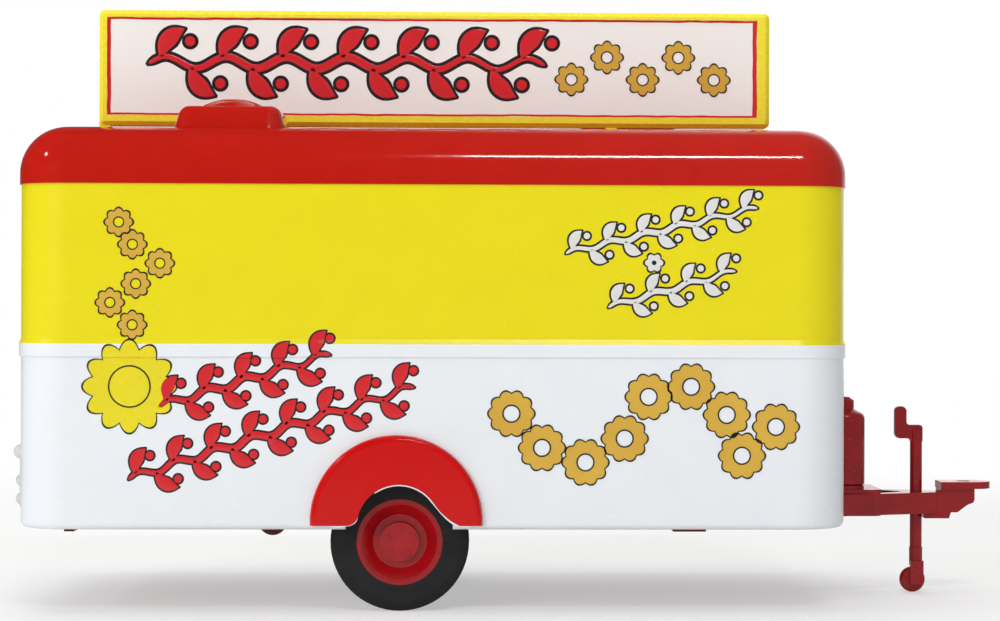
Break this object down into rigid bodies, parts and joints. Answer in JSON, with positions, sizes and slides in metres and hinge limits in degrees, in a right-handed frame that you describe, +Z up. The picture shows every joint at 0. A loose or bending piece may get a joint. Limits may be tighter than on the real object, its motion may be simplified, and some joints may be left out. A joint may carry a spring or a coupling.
{
  "type": "toy concession trailer",
  "caption": "Small model food trailer: box body with roof sign, hinged serving hatch, wheels on one axle, and a drawbar with gas bottles, jack wheel and tow eye.",
  "frame": {"origin": "on the ground under the middle of the toy's box, drawbar and rear lamps included", "axes": "+X forward along the drawbar, +Y to the trailer's left, the serving side, +Z up"},
  "size_m": [0.0602, 0.0254, 0.0366],
  "materials": {
    "cast_white": "gloss paint",
    "cast_yellow": "gloss paint",
    "cast_red": "gloss paint",
    "red_plastic": "moulded, satin",
    "dark_red_plastic": "moulded, matt",
    "sign_yellow": "moulded, gloss",
    "sign_white": "printed, satin",
    "lamp_white": "moulded, gloss",
    "silver_paint": "silver paint",
    "grey_plastic": "moulded, matt",
    "cream_plastic": "moulded, satin",
    "hub_red": "moulded, gloss",
    "tyre_black": "matt",
    "axle_steel": "drawn wire"
  },
  "bodies": {
    "trailer": {"lower_body": "cast_white", "upper_body": "cast_yellow", "roof_cap": "cast_red", "roof_vent_rear": "cast_red", "roof_vent_front": "cast_red", "sign_frame": "sign_yellow", "sign_panel": "sign_white", "wheel_arch_right": "cast_red", "wheel_arch_left": "cast_red", "rear_lamps_right": "lamp_white", "rear_lamps_left": "lamp_white", "rear_door": "cast_white", "door_handle": "silver_paint", "base_plate": "dark_red_plastic", "chassis_frame": "red_plastic", "axle_bearing_right": "dark_red_plastic", "axle_bearing_left": "dark_red_plastic", "inner_floor": "grey_plastic", "serving_counter": "cream_plastic", "rear_bench": "cream_plastic", "fryer": "silver_paint", "drawbar": "red_plastic", "gas_bottle_right": "red_plastic", "gas_bottle_left": "red_plastic", "jack_post": "red_plastic", "jack_wheel": "red_plastic", "coupler": "red_plastic"},
    "wheelset": {"axle": "axle_steel", "tyre_right": "tyre_black", "tyre_left": "tyre_black", "hub_right": "hub_red", "hub_left": "hub_red"},
    "hatch": {"hatch_flap": "cast_yellow", "hatch_pull": "silver_paint"}
  },
  "joints": [
    {"name": "wheel_spin", "type": "hinge", "parent": "trailer", "child": "wheelset", "pos_m": [-0.00702, 0, 0.0041], "axis": [0, 1, 0], "continuous": true},
    {"name": "hatch_swing", "type": "hinge", "parent": "trailer", "child": "hatch", "pos_m": [-0.00502, 0.0117, 0.02362], "axis": [1, 0, 0], "range_deg": [0, 90]}
  ]
}
